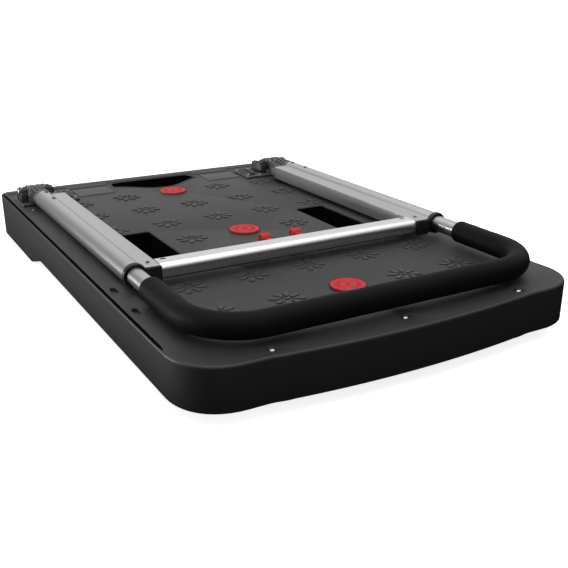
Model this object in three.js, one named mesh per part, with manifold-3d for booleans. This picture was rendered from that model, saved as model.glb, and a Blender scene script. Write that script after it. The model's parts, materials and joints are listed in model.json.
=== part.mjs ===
// Folding platform cart: moulded deck, folding telescopic handle and four castors that
// stow flat inside the deck. Millimetres, +Z up, handle hinges at +Y, grip at -Y.
import * as THREE from 'three';
import { mergeVertices } from 'three/addons/utils/BufferGeometryUtils.js';
import Module from 'manifold-3d';

const wasm = await Module();
wasm.setup();

// driving sizes
const DECK_W = 480;
const DECK_L = 748;
const DECK_H = 63.6;
const WALL = 4;
const TOP_T = 3.6;
const TUBE_R = 12.6;
const TUBE_WALL = 1.8;
const WHEEL_R = 37.5;
const WHEEL_W = 24;
const DISC_R = 20;
const GAP = 0.3;

// deck outline and skirt
const BOW = 11;
const STEP = 3;
const STEP_X = 150;
const STEP_RUN = 14;
const CORNER_R = 58;
const REAR_R = 12;
const SKIRT_LIFT = 16.5;
const SKIRT_RAMP = [173, 229];
const EDGE = 2;
const yF = -DECK_L / 2;
const yR = DECK_L / 2;
const under = DECK_H - TOP_T;

// openings through the deck
const HOLE_X0 = DECK_W / 2 - 126;
const HOLE_X1 = DECK_W / 2 - 81;
const HOLE_Y0 = -65;
const HOLE_Y1 = 59;
const HOLE_R = 4;
const HOLE_RIM = 3;
const RIM_Z = 12;
const HAND_Y = { rear: yR - 24, corner: yR - 32, side: yR - 53, shoulder: yR - 60, front: yR - 90.5 };
const HAND_X = { corner: 60, side: 70, shoulder: 46, middle: 30 };

// stiffening ribs and feet under the deck
const RIB_T = 4;
const RIB_X = 76;
const RIB_LOW = 24;
const RIB_HIGH = 30;
const RIB_Y = { front: yF + 64, mid: HOLE_Y0 - 45, rear: HOLE_Y1 + 41, back: yR - 93.5 };
const FOOT_X = [40, 70];
const FOOT_D = 20;

// fittings on the deck
const DISC_RISE = 2.4;
const DISC_PITCH = yR - 127;
const DISC_SEAT = 1.2;
const DISC_STUD = 4;
const padX = [82, 139];
const padY = [yR - 88, yR - 45];
const PAD_SEAT = 1;
const PAD_RISE = 0.8;
const PAD_R = 3;
const SCREW_X = DECK_W / 2 - 88.5;
const screwX = [-SCREW_X, 0, SCREW_X];
const screwY = [yF + BOW + 14, yF + 26, yF + BOW + 14];
const SCREW_SEAT = 1.6;

// handle
const RAIL_X = DECK_W / 2 - 34.3;
const RAIL_Z = DECK_H + TUBE_R + 4.2;
const WEB_IN = RAIL_X - TUBE_R - 18.2;
const WEB_T = 2;
const WEB_H = TUBE_R + 6.8;
const CAVITY_GAP = 0.6;
const CAP_T = 5;
const CAP_LIP = 1.2;
const PIN_Y = yR - 81;
const RAIL_REAR = PIN_Y - 63;
const RAIL_FRONT = yF + 232;
const BAR_REAR = RAIL_FRONT + 22;
const BAR_D = 24;
const BAR_ROUND = 8.5;
const BAR_WALL = 2;
const INNER_R = TUBE_R - 2.6;
const INNER_WALL = 1.5;
const INNER_REAR = RAIL_REAR - 40;
const GRIP_Y = yF + 46;
const GRIP_BEND = 62;
const FOAM_R = INNER_R + 3.6;
const FOAM_START = RAIL_FRONT - 48;
const KNOB_X = 21.5;
const KNOB_Y = BAR_REAR + 23;
const KNOB_R = 7;
const KNOB_L = 12.6;
const KNOB_EDGE = 1.2;
const KNOB_TRAVEL = 6;
const STEM_W = 3.8;
const SLOT_SIDE = 0.8;
const SLOT_Z = [-4.6, 4];
const STEM_Z = [-3.6, 3.2];
const ROD_R = 2.5;
const TIP_HOLE_R = 3.6;
const TIP_CLEAR = 1.8;
const SPRING_R = 2.6;
const SPRING_WIRE = 0.6;
const SPRING_TURNS = 5;
const SPRING_END = 5.4;

// hinges: X offsets are from the rail line, Y offsets from the pin
const BASE_X = [-61.7, 23.3];
const BASE_Y = [-28, 30];
const BASE_T = 2;
const LUG_R = 7.4;
const LUG_FOOT = 11;
const INNER_LUG = [-39.7, -17.7];
const OUTER_LUG = [11.3, 21.3];
const BACK_X = [-25.7, 21.3];
const BACK_Y = [18, 24];
const BACK_Z = 9;
const FIN_Y = [-14, 18];
const fins = [[-51.7, -48.7, 5], [-45.7, -42.7, 7]];
const BOLT_R = 2.6;
const BOLT_X = [-57.7, -35.7];
const BOLT_Y = [-19, 24];
const BARREL_R = 8.8;
const BLOCK_X = [-13.7, 9.3];
const BLOCK_TOP = 0.6;
const SLEEVE_END = 19;
const FLANGE_D = 8;
const SPIGOT_LAP = 8;
const SLOT_Y = [14, 23, 32];
const SLOT_W = 5;
const SLOT_FLOOR = 6;
const PIN_R = 4;
const PIN_HEAD_R = 6;
const PIN_X = [-41.7, 22.3];
const PIN_HEAD = 2.5;

// castors
const CASTOR_Y = yR - 156;
const CARRIER_X = DECK_W / 2 - 51;
const CARRIER_Z = DECK_H - 9.1;
const CARRIER_W = 40;
const CARRIER_L = 100;
const CARRIER_T = 3;
const AXLE_DROP = 62;
const AXLE_R = 4;
const HINGE_ROD_R = 2.5;
const CURL_R = 4.5;
const LUG_T = 6;
const LUG_W = 7;
const STOP_W = 12;
const STOP_Y = 36;
const SWIVEL_R = 14.5;
const FORK_HALF = 17;
const FORK_TIP = 9;
const FORK_T = 3;
const HUB_R = WHEEL_R - 8.5;
const BOSS_R = 9;
// play of the tyre seat as a share of the hub radius, more than the sagitta of its facets
const SEAT_EASE = 0.3 / 29;

const tone = (hex, rough, metal) => new THREE.MeshStandardMaterial({
  color: hex, roughness: rough, metalness: metal,
});
const deckMat = tone(0x2b2b2d, 0.6, 0);
const redMat = tone(0xc82430, 0.45, 0);
const padMat = tone(0x757575, 0.7, 0);
const aluMat = tone(0xb9bbbd, 0.35, 1);
const castMat = tone(0x6f7173, 0.5, 1);
const steelMat = tone(0xa0a2a4, 0.3, 1);
const foamMat = tone(0x141414, 0.9, 0);
const blackMat = tone(0x1a1a1b, 0.5, 0);
const tyreMat = tone(0x4a4a4c, 0.85, 0);

const group = new THREE.Group();
group.name = 'folding_platform_cart';

function solid(geometry) {
  geometry.deleteAttribute('normal');
  geometry.deleteAttribute('uv');
  const g = mergeVertices(geometry, 1e-4);
  return new wasm.Manifold(new wasm.Mesh({
    numProp: 3,
    vertProperties: new Float32Array(g.attributes.position.array),
    triVerts: new Uint32Array(g.index.array),
  }));
}

function put(name, body, material) {
  const m = body.getMesh();
  const g = new THREE.BufferGeometry();
  g.setAttribute('position', new THREE.BufferAttribute(new Float32Array(m.vertProperties), 3));
  g.setIndex(new THREE.BufferAttribute(new Uint32Array(m.triVerts), 1));
  g.computeVertexNormals();
  const mesh = new THREE.Mesh(g, material);
  mesh.name = name;
  group.add(mesh);
}

const join = (...list) => list.reduce((a, b) => a.add(b));
const cut = (body, ...tools) => tools.reduce((a, b) => a.subtract(b), body);

function box(x0, x1, y0, y1, z0, z1) {
  const g = new THREE.BoxGeometry(x1 - x0, y1 - y0, z1 - z0);
  g.translate((x0 + x1) / 2, (y0 + y1) / 2, (z0 + z1) / 2);
  return solid(g);
}

// cylinder between two values along one axis; a and b are the other two coordinates
function rod(axis, a, b, r, from, to, seg = 20) {
  const g = new THREE.CylinderGeometry(r, r, to - from, seg);
  const mid = (from + to) / 2;
  if (axis === 'x') {
    g.rotateZ(-Math.PI / 2);
    g.translate(mid, a, b);
  } else if (axis === 'y') {
    g.translate(a, mid, b);
  } else {
    g.rotateX(Math.PI / 2);
    g.translate(a, b, mid);
  }
  return solid(g);
}

const cyclic = new THREE.Matrix4().makeBasis(
  new THREE.Vector3(0, 1, 0), new THREE.Vector3(0, 0, 1), new THREE.Vector3(1, 0, 0));

function prismZ(shape, z0, z1, seg = 8) {
  const g = new THREE.ExtrudeGeometry(shape, {
    depth: z1 - z0, bevelEnabled: false, curveSegments: seg,
  });
  g.translate(0, 0, z0);
  return solid(g);
}

// profile drawn in Y and Z, extruded along X
function prismX(points, x0, x1) {
  const shape = new THREE.Shape(points.map((p) => new THREE.Vector2(p[0], p[1])));
  const g = new THREE.ExtrudeGeometry(shape, { depth: x1 - x0, bevelEnabled: false });
  g.applyMatrix4(cyclic);
  g.translate(x0, 0, 0);
  return solid(g);
}

function turned(profile, seg = 24) {
  const pts = profile.map((p) => new THREE.Vector2(p[0], p[1]));
  const g = new THREE.LatheGeometry(pts, seg);
  g.rotateX(Math.PI / 2);
  return g;
}

function roundRect(x0, x1, y0, y1, r) {
  const s = new THREE.Shape();
  s.moveTo(x0 + r, y0);
  s.lineTo(x1 - r, y0);
  s.absarc(x1 - r, y0 + r, r, -Math.PI / 2, 0);
  s.lineTo(x1, y1 - r);
  s.absarc(x1 - r, y1 - r, r, 0, Math.PI / 2);
  s.lineTo(x0 + r, y1);
  s.absarc(x0 + r, y1 - r, r, Math.PI / 2, Math.PI);
  s.lineTo(x0, y0 + r);
  s.absarc(x0 + r, y0 + r, r, Math.PI, 1.5 * Math.PI);
  return s;
}

// deck outline with a bowed front edge, drawn inset by d
function outline(d) {
  const w = DECK_W / 2 - d;
  const c = CORNER_R - d;
  const rr = Math.max(REAR_R - d, 2);
  const f = yF + BOW + d;
  const s = new THREE.Shape();
  s.moveTo(-w, yR - d - rr);
  s.lineTo(-w, f + c);
  s.bezierCurveTo(-w, f + c * 0.42, -w + c * 0.36, f, -w + c, f);
  s.lineTo(-STEP_X - STEP_RUN, f);
  s.bezierCurveTo(-STEP_X, f, -STEP_X, f - STEP, -STEP_X + STEP_RUN, f - STEP);
  s.quadraticCurveTo(0, f - 2 * BOW + STEP, STEP_X - STEP_RUN, f - STEP);
  s.bezierCurveTo(STEP_X, f - STEP, STEP_X, f, STEP_X + STEP_RUN, f);
  s.lineTo(w - c, f);
  s.bezierCurveTo(w - c * 0.36, f, w, f + c * 0.42, w, f + c);
  s.lineTo(w, yR - d - rr);
  s.absarc(w - rr, yR - d - rr, rr, 0, Math.PI / 2);
  s.lineTo(-w + rr, yR - d);
  s.absarc(-w + rr, yR - d - rr, rr, Math.PI / 2, Math.PI);
  return s;
}

// hand-hold with a bowed front, drawn larger by d
function handHold(d) {
  const { corner, side, shoulder, middle } = HAND_X;
  const s = new THREE.Shape();
  const ySide = HAND_Y.side - d * 0.4;
  const yShoulder = HAND_Y.shoulder - d;
  const yFront = HAND_Y.front - d;
  s.moveTo(-corner - d, HAND_Y.rear + d);
  s.lineTo(-side - d, HAND_Y.corner);
  s.lineTo(-side - d, ySide);
  s.bezierCurveTo(-shoulder, yShoulder, -middle, yFront, 0, yFront);
  s.bezierCurveTo(middle, yFront, shoulder, yShoulder, side + d, ySide);
  s.lineTo(side + d, HAND_Y.corner);
  s.lineTo(corner + d, HAND_Y.rear + d);
  return s;
}

// ---- deck ----
const discY = [-DISC_PITCH, 0, DISC_PITCH];
const sides = [['left', -1], ['right', 1]];
let deck = prismZ(outline(EDGE), DECK_H - EDGE, DECK_H).add(prismZ(outline(0), 0, DECK_H - EDGE));
deck = deck.subtract(prismZ(outline(WALL), -1, under));
// the skirt is lifted everywhere but at the rear
const rampY = SKIRT_RAMP.map((d) => yR - d);
deck = deck.subtract(prismX([[yF - 5, -2], [rampY[0], -2], [rampY[0], 0], [rampY[1], SKIRT_LIFT],
  [yF - 5, SKIRT_LIFT]], -DECK_W, DECK_W));
// stiffening ribs, frames round the openings and two stand feet
const inWall = DECK_W / 2 - WALL / 2;
const ribOut = RIB_X + RIB_T;
const ribTop = under + 1;
const crossRib = (x0, x1, y, z) => box(x0, x1, y, y + RIB_T, z, ribTop);
const longRib = (x, y0, y1, z) => box(x, x + RIB_T, y0, y1, z, ribTop);
const frontY = RIB_Y.front + RIB_T / 2;
const rearY = RIB_Y.rear + RIB_T / 2;
const backY = RIB_Y.back + 1.5;
const ribs = [
  crossRib(-inWall, -ribOut, RIB_Y.rear, RIB_HIGH),
  crossRib(ribOut, inWall, RIB_Y.rear, RIB_HIGH),
  crossRib(-inWall, inWall, RIB_Y.mid, RIB_HIGH),
  crossRib(-inWall, inWall, RIB_Y.front, RIB_LOW),
  longRib(-ribOut, frontY, rearY, RIB_LOW),
  longRib(RIB_X, frontY, rearY, RIB_LOW),
  crossRib(-ribOut, ribOut, RIB_Y.rear, RIB_HIGH),
  longRib(-RIB_T / 2, frontY, backY, RIB_HIGH),
  longRib(-ribOut, rearY, backY, RIB_LOW),
  longRib(RIB_X, rearY, backY, RIB_LOW),
  crossRib(-inWall, -ribOut, RIB_Y.back, RIB_LOW),
  crossRib(ribOut, inWall, RIB_Y.back, RIB_LOW),
  box(-FOOT_X[1], -FOOT_X[0], RIB_Y.front, RIB_Y.front + FOOT_D, 0, ribTop),
  box(FOOT_X[0], FOOT_X[1], RIB_Y.front, RIB_Y.front + FOOT_D, 0, ribTop),
];
deck = join(deck, ...ribs);
deck = deck.add(prismZ(handHold(WALL), RIM_Z, ribTop));
for (const [, s] of sides) {
  const x = [s * HOLE_X0, s * HOLE_X1].sort((a, b) => a - b);
  deck = deck.add(box(x[0] - HOLE_RIM, x[1] + HOLE_RIM, HOLE_Y0 - HOLE_RIM, HOLE_Y1 + HOLE_RIM,
    RIM_Z, ribTop));
  deck = deck.subtract(prismZ(roundRect(x[0], x[1], HOLE_Y0, HOLE_Y1, HOLE_R), -5, DECK_H + 5, 4));
}
deck = deck.subtract(prismZ(handHold(0), -5, DECK_H + 5, 8));
// lugs for the castor hinges and stops over the carrier plates
const castorPlaces = [];
for (const [sn, s] of sides) {
  for (const [en, e] of [['front', -1], ['rear', 1]]) {
    const yc = e * CASTOR_Y;
    castorPlaces.push([sn, s, en, yc]);
    for (const k of [-1, 1]) {
      const y0 = yc + k * (CARRIER_L / 2 + 5) - LUG_T / 2;
      const cx = s * CARRIER_X;
      deck = deck.add(box(cx - LUG_W, cx + LUG_W, y0, y0 + LUG_T, CARRIER_Z - LUG_W - 1, ribTop));
      deck = deck.subtract(rod('y', cx, CARRIER_Z, HINGE_ROD_R + 0.8, y0 - 1, y0 + LUG_T + 1, 12));
      const xs = s * (CARRIER_X + CARRIER_W / 2 + 4);
      const stopZ = CARRIER_Z + CARRIER_T / 2 + GAP;
      const stopY = yc + k * STOP_Y;
      deck = deck.add(box(xs - STOP_W, xs + STOP_W, stopY - LUG_T / 2, stopY + LUG_T / 2, stopZ, ribTop));
    }
  }
}
// seats for the red discs, pads and rim screws
for (const y of discY) {
  deck = deck.subtract(rod('z', 0, y, DISC_R + GAP, DECK_H - DISC_SEAT, DECK_H + 2, 24));
  deck = deck.subtract(rod('z', 0, y, DISC_STUD + GAP, DECK_H - 9, DECK_H, 12));
}
for (const i of [0, 1, 2]) {
  deck = deck.subtract(rod('z', screwX[i], screwY[i], 5, DECK_H - SCREW_SEAT, DECK_H + 2, 16));
  deck = deck.subtract(rod('z', screwX[i], screwY[i], 2.3, DECK_H - 12, DECK_H, 10));
}
for (const [, s] of sides) {
  const x = [s * padX[0], s * padX[1]].sort((a, b) => a - b);
  deck = deck.subtract(prismZ(roundRect(x[0] - GAP, x[1] + GAP, padY[0] - GAP, padY[1] + GAP, PAD_R),
    DECK_H - PAD_SEAT, DECK_H + 2, 4));
}
put('deck_shell', deck, deckMat);

['front', 'mid', 'rear'].forEach((n, i) => {
  const z = DECK_H - DISC_SEAT + GAP;
  const top = DISC_RISE + DISC_SEAT - GAP;
  const g = turned([[0, -7], [DISC_STUD, -7], [DISC_STUD, 0], [DISC_R, 0], [DISC_R, top - 1.2],
    [DISC_R - 1.4, top], [6, top + 0.3], [5.4, top - 0.5], [3, top - 0.5], [2.4, top + 0.4],
    [0, top + 0.5]]);
  g.translate(0, discY[i], z);
  put(`grip_disc_${n}`, solid(g), redMat);
});
for (const [n, s] of sides) {
  const x = [s * padX[0], s * padX[1]].sort((a, b) => a - b);
  put(`rear_pad_${n}`, prismZ(roundRect(x[0], x[1], padY[0], padY[1], PAD_R),
    DECK_H - PAD_SEAT + GAP, DECK_H + PAD_RISE, 4), padMat);
}
['left', 'mid', 'right'].forEach((n, i) => {
  const g = turned([[0, -9], [2, -9], [2, 0], [4.6, 0], [4.2, 1.1], [2.4, 1.9], [0, 2.1]], 12);
  g.translate(screwX[i], screwY[i], DECK_H - SCREW_SEAT + GAP);
  put(`rim_screw_${n}`, solid(g), steelMat);
});

// ---- handle ----
const webBot = RAIL_Z - TUBE_R - 0.1;
const webTop = webBot + WEB_H;
const barMidY = BAR_REAR - BAR_D / 2;
const barMidZ = webBot + WEB_H / 2;
for (const [n, s] of sides) {
  const ord = (a, b) => [s * a, s * b].sort((p, q) => p - q);
  const web = ord(WEB_IN, RAIL_X);
  const cavity = ord(WEB_IN + WEB_T, RAIL_X - TUBE_R - CAVITY_GAP);
  const cx = s * RAIL_X;
  let rail = rod('y', cx, RAIL_Z, TUBE_R, RAIL_FRONT, RAIL_REAR, 28);
  rail = rail.add(box(web[0], web[1], RAIL_FRONT, RAIL_REAR, webBot, webTop));
  rail = cut(rail,
    rod('y', cx, RAIL_Z, TUBE_R - TUBE_WALL, RAIL_FRONT - 1, RAIL_REAR + 1, 28),
    box(cavity[0], cavity[1], RAIL_FRONT - 1, RAIL_REAR + 1, webBot + WEB_T, webTop - WEB_T));
  const hole = ord(WEB_IN - 1, RAIL_X - INNER_R);
  rail = rail.subtract(rod('x', barMidY, RAIL_Z, TIP_HOLE_R, hole[0], hole[1], 12));
  put(`side_rail_${n}`, rail, aluMat);

  // moulded cap that guides the sliding tube and closes the web
  const f = RAIL_FRONT - GAP;
  let cap = rod('y', cx, RAIL_Z, TUBE_R + CAP_LIP, f - CAP_T, f, 24);
  cap = cap.add(rod('y', cx, RAIL_Z, TUBE_R - TUBE_WALL - GAP, f - 1, f + 6, 24));
  const face = ord(WEB_IN, RAIL_X);
  cap = cap.add(box(face[0], face[1], f - CAP_T, f, webBot, webTop));
  const plug = ord(WEB_IN + WEB_T + GAP, RAIL_X - TUBE_R - CAVITY_GAP - GAP);
  cap = cap.add(box(plug[0], plug[1], f - 1, f + 5, webBot + WEB_T + GAP, webTop - WEB_T - GAP));
  cap = cap.subtract(rod('y', cx, RAIL_Z, INNER_R + GAP / 2, f - 8, f + 20, 24));
  put(`rail_cap_${n}`, cap, blackMat);
}

// hollow crossbar with a rounded front, pierced by slots for the release knobs
const barX = WEB_IN - GAP;
function barSection(d) {
  const p = [];
  const y0 = BAR_REAR - BAR_D + d;
  const y1 = BAR_REAR - d;
  const z0 = webBot + d;
  const z1 = webTop - d;
  const r = BAR_ROUND - d;
  p.push([y1, z0], [y1, z1]);
  for (let i = 0; i <= 10; i += 1) {
    const a = Math.PI / 2 + Math.PI * (i / 10);
    const mid = i < 5 ? z1 - r : i > 5 ? z0 + r : (z0 + z1) / 2;
    p.push([y0 + r + r * Math.cos(a), mid + r * Math.sin(a)]);
  }
  return p.reverse();
}
let bar = cut(prismX(barSection(0), -barX, barX), prismX(barSection(BAR_WALL), -barX - 1, barX + 1));
for (const [, s] of sides) {
  const x = [s * (KNOB_X + STEM_W + SLOT_SIDE), s * (KNOB_X - KNOB_TRAVEL - 5)].sort((a, b) => a - b);
  bar = bar.subtract(box(x[0], x[1], BAR_REAR - BAR_WALL - 1, BAR_REAR + 1,
    RAIL_Z + SLOT_Z[0], RAIL_Z + SLOT_Z[1]));
}
put('crossbar', bar, aluMat);

for (const [n, s] of sides) {
  const ord = (a, b) => [s * a, s * b].sort((p, q) => p - q);
  // finger stub lying along the bar, on a stem that enters the crossbar and wraps the lock rod
  const h = KNOB_L / 2;
  const g = turned([[0, -h], [KNOB_R - KNOB_EDGE, -h], [KNOB_R, KNOB_EDGE - h], [KNOB_R, h - KNOB_EDGE],
    [KNOB_R - KNOB_EDGE, h], [0, h]], 20);
  g.rotateY(Math.PI / 2);
  g.translate(s * KNOB_X, KNOB_Y, RAIL_Z);
  let knob = solid(g);
  const stem = ord(KNOB_X - STEM_W, KNOB_X + STEM_W);
  knob = knob.add(box(stem[0], stem[1], barMidY - 5, KNOB_Y, RAIL_Z + STEM_Z[0], RAIL_Z + STEM_Z[1]));
  const drill = ord(KNOB_X - 0.5, KNOB_X + 5);
  knob = knob.subtract(rod('x', barMidY, RAIL_Z, ROD_R + GAP, drill[0], drill[1], 16));
  put(`release_knob_${n}`, knob, redMat);
  const shaft = ord(KNOB_X - 0.5 + GAP, RAIL_X - INNER_R - TIP_CLEAR);
  put(`lock_rod_${n}`, rod('x', barMidY, RAIL_Z, ROD_R, shaft[0], shaft[1], 16), steelMat);
}

// return spring between the two knob stems
class Coil extends THREE.Curve {
  getPoint(t) {
    const half = KNOB_X - SPRING_END;
    const a = t * 2 * Math.PI * SPRING_TURNS;
    return new THREE.Vector3(-half + 2 * half * t, barMidY + SPRING_R * Math.cos(a),
      RAIL_Z + SPRING_R * Math.sin(a));
  }
}
function ring(r, seg) {
  const s = new THREE.Shape();
  for (let i = 0; i < seg; i += 1) {
    const a = (2 * Math.PI * i) / seg;
    if (i === 0) s.moveTo(r, 0);
    else s.lineTo(r * Math.cos(a), r * Math.sin(a));
  }
  s.closePath();
  return s;
}
put('lock_spring', solid(new THREE.ExtrudeGeometry(ring(SPRING_WIRE, 5), {
  steps: 50, bevelEnabled: false, extrudePath: new Coil(),
})), steelMat);

// U-shaped sliding tube and its foam sleeve
const BEND_STEPS = 7;
class GripPath extends THREE.Curve {
  constructor(start) {
    super();
    const at = (x, y) => this.stops.push(new THREE.Vector3(x, y, RAIL_Z));
    this.stops = [];
    at(-RAIL_X, start);
    for (const s of [-1, 1]) {
      for (let i = 0; i <= BEND_STEPS; i += 1) {
        const a = (Math.PI / 2) * (s < 0 ? i / BEND_STEPS : 1 - i / BEND_STEPS);
        at(s * (RAIL_X - GRIP_BEND + GRIP_BEND * Math.cos(a)),
          GRIP_Y + GRIP_BEND - GRIP_BEND * Math.sin(a));
      }
    }
    at(RAIL_X, start);
  }

  getUtoTmapping(u) {
    return u;
  }

  getPoint(t) {
    const f = Math.min(Math.max(t, 0), 1) * (this.stops.length - 1);
    const i = Math.min(Math.floor(f), this.stops.length - 2);
    return this.stops[i].clone().lerp(this.stops[i + 1], f - i);
  }

  // direction at a stop is the mean of the two pieces that meet there
  getTangent(t) {
    const n = this.stops.length - 1;
    const i = Math.round(t * n);
    const a = this.stops[Math.max(i - 1, 0)];
    const b = this.stops[Math.min(i + 1, n)];
    const p = this.stops[i];
    const d = new THREE.Vector3();
    if (i > 0) d.add(p.clone().sub(a).normalize());
    if (i < n) d.add(b.clone().sub(p).normalize());
    return d.normalize();
  }
}
function swept(r, start) {
  const path = new GripPath(start);
  return solid(new THREE.ExtrudeGeometry(ring(r, 14), {
    steps: path.stops.length - 1, bevelEnabled: false, extrudePath: path,
  }));
}
const tubeBore = swept(INNER_R - INNER_WALL, INNER_REAR + 1);
put('grip_tube', swept(INNER_R, INNER_REAR).subtract(tubeBore), aluMat);
put('grip_foam', swept(FOAM_R, FOAM_START).subtract(swept(INNER_R + GAP, FOAM_START + 1)), foamMat);

// ---- hinges ----
for (const [n, s] of sides) {
  const at = (range) => range.map((d) => s * (RAIL_X + d)).sort((p, q) => p - q);
  const span = (range, y0, y1, z0, z1) => box(...at(range), y0, y1, z0, z1);
  const cx = s * RAIL_X;
  const base = DECK_H + GAP;
  const pinZ = RAIL_Z;
  const cheek = (range) => join(
    span(range, PIN_Y - LUG_FOOT, PIN_Y + LUG_R, base, pinZ),
    rod('x', PIN_Y, pinZ, LUG_R, ...at(range), 20));
  const pinHole = rod('x', PIN_Y, pinZ, PIN_R + GAP, ...at([PIN_X[0] - 4, PIN_X[1] + 12]), 16);
  let bracket = span(BASE_X, PIN_Y + BASE_Y[0], PIN_Y + BASE_Y[1], base, base + BASE_T);
  bracket = join(bracket, cheek(INNER_LUG), cheek(OUTER_LUG));
  bracket = bracket.add(span(BACK_X, PIN_Y + BACK_Y[0], PIN_Y + BACK_Y[1], base, base + BACK_Z));
  for (const [x0, x1, top] of fins) {
    bracket = bracket.add(span([x0, x1], PIN_Y + FIN_Y[0], PIN_Y + FIN_Y[1], base, base + top));
  }
  bracket = bracket.subtract(pinHole);
  for (const bx of BOLT_X) {
    for (const by of BOLT_Y) {
      bracket = bracket.subtract(rod('z', s * (RAIL_X + bx), PIN_Y + by, BOLT_R, base - 1,
        base + 10, 8));
    }
  }
  put(`hinge_bracket_${n}`, bracket, castMat);

  // knuckle casting: barrel round the pin, block, sleeve and spigot inside the rail tube
  let kn = rod('x', PIN_Y, pinZ, BARREL_R, ...at([INNER_LUG[1] + GAP, OUTER_LUG[0] - GAP]), 20);
  kn = kn.add(span(BLOCK_X, RAIL_REAR + 1, PIN_Y, pinZ - BARREL_R, pinZ + BARREL_R - BLOCK_TOP));
  kn = kn.add(rod('y', cx, pinZ, TUBE_R, RAIL_REAR + GAP, PIN_Y - SLEEVE_END, 24));
  kn = kn.add(span([WEB_IN + WEB_T - RAIL_X, 0], RAIL_REAR + GAP, RAIL_REAR + FLANGE_D, webBot, webTop));
  kn = kn.add(rod('y', cx, pinZ, TUBE_R - TUBE_WALL - GAP, INNER_REAR + SPIGOT_LAP, RAIL_REAR + 6, 20));
  for (const d of SLOT_Y) {
    const y = RAIL_REAR + d;
    kn = kn.subtract(span([BLOCK_X[0] + 4, BLOCK_X[1] - 4], y, y + SLOT_W, pinZ + SLOT_FLOOR,
      pinZ + SLOT_FLOOR + TUBE_R));
  }
  kn = kn.subtract(pinHole);
  put(`hinge_knuckle_${n}`, kn, castMat);
  const headFrom = OUTER_LUG[1] + GAP;
  const pin = join(rod('x', PIN_Y, pinZ, PIN_R, ...at(PIN_X), 16),
    rod('x', PIN_Y, pinZ, PIN_HEAD_R, ...at([headFrom, OUTER_LUG[1] + PIN_HEAD]), 16));
  put(`hinge_pin_${n}`, pin, steelMat);
}

// ---- castors, drawn stowed: carrier plate upright, wheel lying flat ----
for (const [sn, s, en, yc] of castorPlaces) {
  const tag = `${en}_${sn}`;
  const ord = (a, b) => [s * a, s * b].sort((p, q) => p - q);
  const span = (a, b, y0, y1, z0, z1) => box(...ord(a, b), yc + y0, yc + y1, z0, z1);
  const inner = CARRIER_X - CARRIER_T / 2;
  const outer = CARRIER_X + CARRIER_T / 2;
  const wz = CARRIER_Z - CARRIER_W / 2;
  const ax = inner - AXLE_DROP;
  const hl = CARRIER_L / 2;
  const cx = s * CARRIER_X;
  let plate = span(inner, outer, -hl, hl, CARRIER_Z - CARRIER_W, CARRIER_Z);
  plate = plate.add(rod('y', cx, CARRIER_Z, CURL_R, yc - hl, yc + hl, 14));
  plate = plate.subtract(rod('y', cx, CARRIER_Z, HINGE_ROD_R + GAP, yc - hl - 1, yc + hl + 1, 12));
  plate = plate.subtract(rod('x', yc, wz, AXLE_R + GAP, ...ord(inner - 2, outer + 1.5), 14));
  put(`castor_plate_${tag}`, plate, steelMat);
  put(`castor_hinge_rod_${tag}`, rod('y', cx, CARRIER_Z, HINGE_ROD_R, yc - hl - 9, yc + hl + 9, 12),
    steelMat);
  const half = WHEEL_W / 2 + 1.5;
  // housing, crown and two tapered legs in one pressing
  let fork = rod('x', yc, wz, SWIVEL_R, ...ord(inner - GAP - 9, inner - GAP), 20);
  fork = fork.add(span(inner - 13, inner - 8.5, -FORK_HALF, FORK_HALF, wz - half - FORK_T,
    wz + half + FORK_T));
  for (const k of [-1, 1]) {
    const leg = new THREE.Shape();
    leg.moveTo(s * (inner - 9), yc - FORK_HALF);
    leg.lineTo(s * (inner - 9), yc + FORK_HALF);
    leg.lineTo(s * ax, yc + FORK_TIP);
    leg.lineTo(s * (ax - FORK_TIP), yc + FORK_TIP - 4);
    leg.lineTo(s * (ax - FORK_TIP), yc - FORK_TIP + 4);
    leg.lineTo(s * ax, yc - FORK_TIP);
    const z0 = k < 0 ? wz - half - FORK_T : wz + half;
    fork = fork.add(prismZ(leg, z0, z0 + FORK_T));
  }
  fork = fork.add(rod('x', yc, wz, AXLE_R, ...ord(inner - 3, outer + 1), 14));
  fork = fork.subtract(rod('z', s * ax, yc, AXLE_R + GAP, wz - 30, wz + 30, 14));
  put(`castor_fork_${tag}`, fork, steelMat);
  const nutZ = wz + half + FORK_T + GAP;
  put(`castor_axle_${tag}`, join(rod('z', s * ax, yc, AXLE_R, wz - half - 4, wz + half + 4, 14),
    rod('z', s * ax, yc, AXLE_R + 2, nutZ, nutZ + 1.7, 6)), steelMat);
  const w = WHEEL_W / 2;
  const bore = AXLE_R + GAP;
  const web = HUB_R - 5;
  const hub = turned([[bore, -w], [BOSS_R, -w], [BOSS_R, -w + 5], [web, -w + 5], [HUB_R - 3, -w + 2],
    [HUB_R, -w + 2], [HUB_R, w - 2], [HUB_R - 3, w - 2], [web, w - 5], [BOSS_R, w - 5], [BOSS_R, w],
    [bore, w], [bore, -w]], 16);
  hub.translate(s * ax, yc, wz);
  put(`castor_hub_${tag}`, solid(hub), blackMat);
  const seat = HUB_R * (1 + SEAT_EASE);
  const tyre = turned([[seat, -w + 2], [WHEEL_R - 4, -w + 1.5], [WHEEL_R, -w + 6], [WHEEL_R, w - 6],
    [WHEEL_R - 4, w - 1.5], [seat, w - 2], [seat, -w + 2]], 24);
  tyre.translate(s * ax, yc, wz);
  put(`castor_tyre_${tag}`, solid(tyre), tyreMat);
}

export default group;
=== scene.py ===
# Folding platform cart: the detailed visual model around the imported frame.
import bpy
import bmesh
import json
import math
from mathutils import Matrix, Vector


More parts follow.
